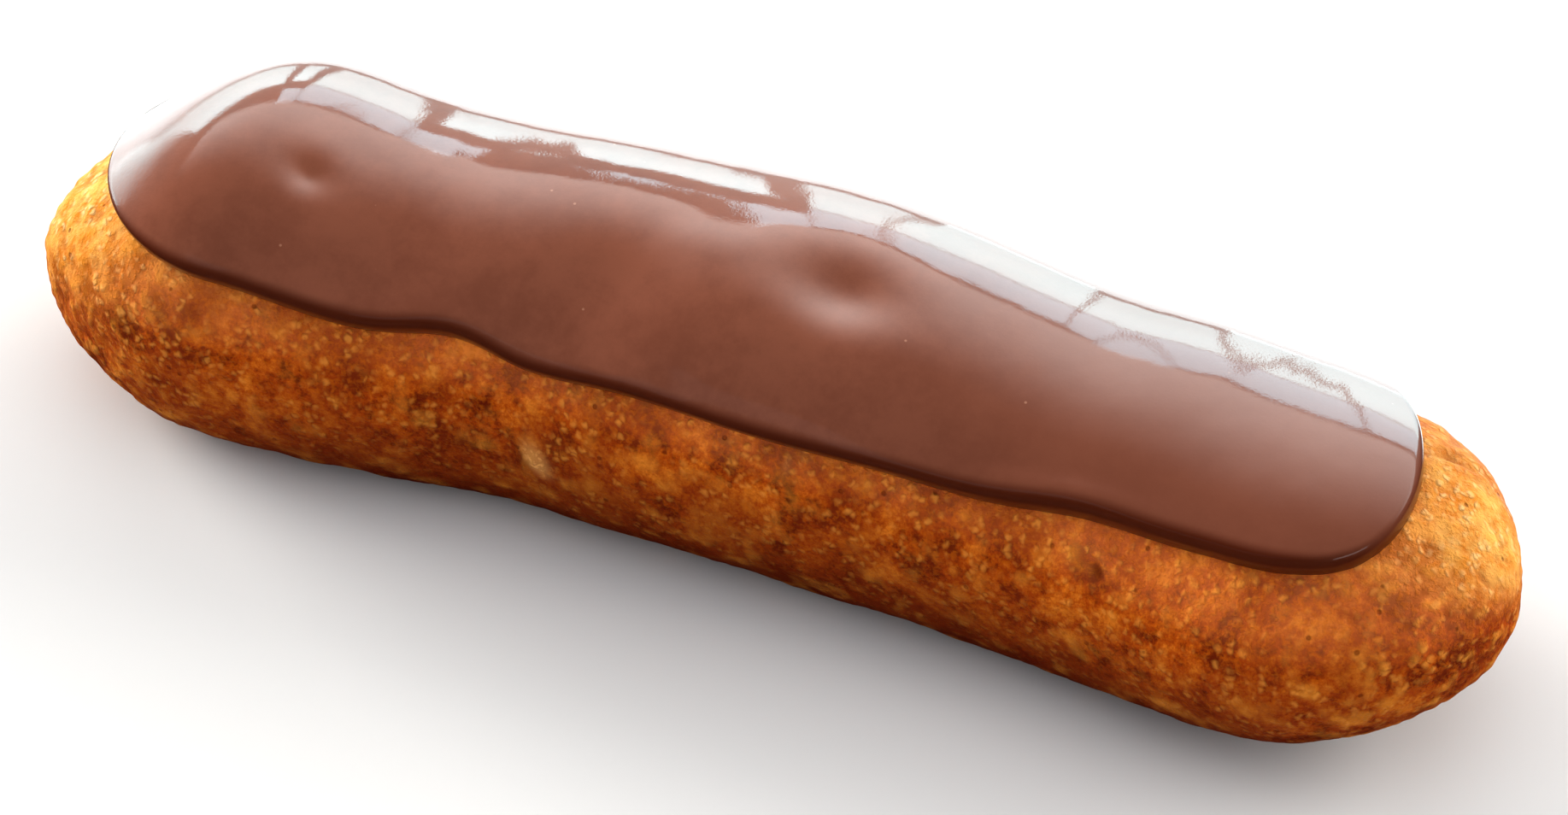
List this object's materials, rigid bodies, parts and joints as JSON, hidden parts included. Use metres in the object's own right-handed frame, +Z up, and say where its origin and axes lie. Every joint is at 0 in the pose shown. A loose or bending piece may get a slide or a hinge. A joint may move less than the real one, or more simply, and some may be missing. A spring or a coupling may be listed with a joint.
{
  "type": "chocolate eclair",
  "caption": "Whole chocolate eclair lying on its flat underside: a long, slightly bowed finger of browned choux pastry with a smooth layer of milk-chocolate icing over its top.",
  "frame": {"origin": "middle of the underside, at the bottom centre of the bounding box", "axes": "+X along the finger, towards the end that shows more bare pastry; +Z up; -Y the side towards which both ends bow"},
  "size_m": [0.15, 0.043, 0.0325],
  "materials": {
    "baked_choux": null,
    "chocolate_icing": null
  },
  "bodies": {
    "root": {"choux_pastry": "baked_choux", "chocolate_icing": "chocolate_icing"}
  },
  "joints": []
}
